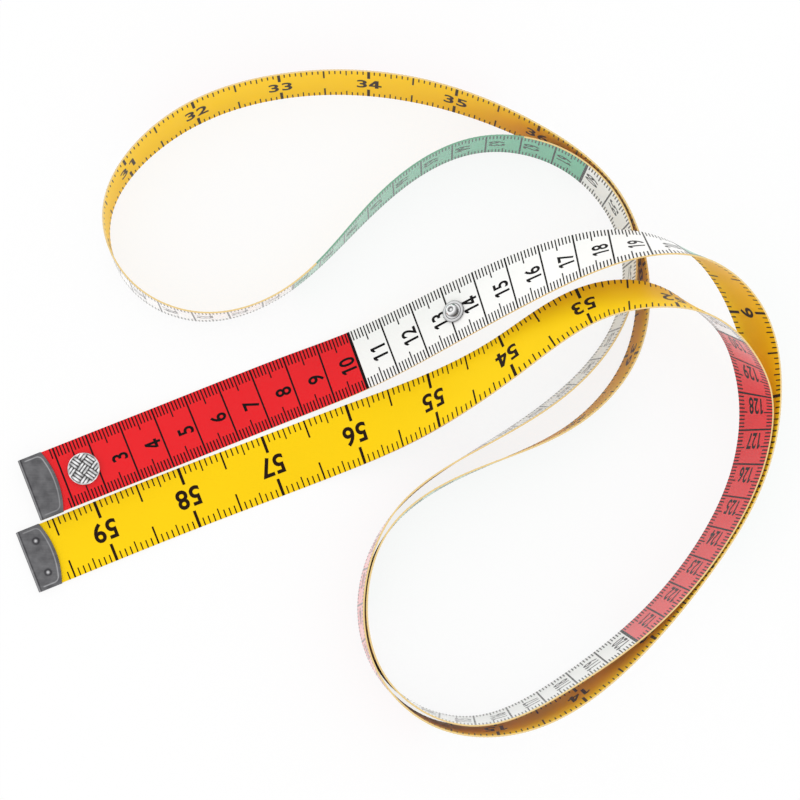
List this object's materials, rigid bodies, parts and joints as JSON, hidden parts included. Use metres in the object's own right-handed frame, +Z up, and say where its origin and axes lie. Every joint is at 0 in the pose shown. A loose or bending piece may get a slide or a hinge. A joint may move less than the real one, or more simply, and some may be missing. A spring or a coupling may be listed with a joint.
{
  "type": "tape measure",
  "caption": "Tailor's cloth tape measure lying in loose loops, with a printed scale on each face, folded metal end clips and a press stud that holds it rolled.",
  "frame": {"origin": "on the table, under the middle of the bounding box", "axes": "+X along the longest extent, +Z up from the table"},
  "size_m": [0.2158, 0.1879, 0.0355],
  "materials": {
    "tape_red": "satin coat over woven glass fibre",
    "tape_white": "satin coat over woven glass fibre",
    "tape_green": "satin coat over woven glass fibre",
    "clip_metal": "dull pressed sheet",
    "snap_steel": "bright pressed sheet"
  },
  "bodies": {
    "loops": {"tape_field_1": "tape_red", "tape_field_2": "tape_white", "tape_field_3": "tape_green", "tape_field_4": "tape_white", "tape_field_5": "tape_red", "tape_field_6": "tape_white", "tape_field_7": "tape_green", "tape_field_8": "tape_white", "tape_field_9": "tape_red", "tape_field_10": "tape_white", "tape_field_11": "tape_green", "tape_field_12": "tape_white", "tape_field_13": "tape_red", "tape_field_14": "tape_white", "tape_field_15": "tape_green", "snap_stud": "snap_steel", "snap_stud_post": "snap_steel"},
    "zero_bend_inner": {"tape_zero_bend_inner": "tape_red"},
    "zero_bend_outer": {"tape_zero_bend_outer": "tape_red"},
    "zero_tip": {"tape_zero_tip": "tape_red", "zero_end_clip": "clip_metal", "snap_cap_shell": "snap_steel", "snap_cap_post": "snap_steel", "snap_socket": "snap_steel", "snap_socket_spring": "snap_steel"},
    "sixty_bend_inner": {"tape_sixty_bend_inner": "tape_green"},
    "sixty_bend_outer": {"tape_sixty_bend_outer": "tape_green"},
    "sixty_tip": {"tape_sixty_tip": "tape_white", "sixty_end_clip": "clip_metal"}
  },
  "joints": [
    {"name": "zero_curl_inner", "type": "hinge", "parent": "loops", "child": "zero_bend_inner", "pos_m": [-0.0323, 0.0045, 0.0011], "axis": [-0.3563, 0.9333, -0.044], "range_deg": [0, 25]},
    {"name": "zero_curl_middle", "type": "hinge", "parent": "zero_bend_inner", "child": "zero_bend_outer", "pos_m": [-0.05636, -0.00524, 0.0015], "axis": [-0.3835, 0.9235, 0], "range_deg": [0, 25]},
    {"name": "zero_curl_outer", "type": "hinge", "parent": "zero_bend_outer", "child": "zero_tip", "pos_m": [-0.08041, -0.01512, 0.0032], "axis": [-0.3752, 0.9269, -0.0021], "range_deg": [0, 25]},
    {"name": "sixty_curl_inner", "type": "hinge", "parent": "loops", "child": "sixty_bend_inner", "pos_m": [-0.03253, -0.01622, 0.00053], "axis": [-0.3566, 0.9343, 0], "range_deg": [0, 25]},
    {"name": "sixty_curl_middle", "type": "hinge", "parent": "sixty_bend_inner", "child": "sixty_bend_outer", "pos_m": [-0.0568, -0.02552, 0.00061], "axis": [-0.3623, 0.9321, 0], "range_deg": [0, 25]},
    {"name": "sixty_curl_outer", "type": "hinge", "parent": "sixty_bend_outer", "child": "sixty_tip", "pos_m": [-0.08094, -0.03519, 0.00092], "axis": [-0.3783, 0.9257, 0], "range_deg": [0, 25]}
  ]
}
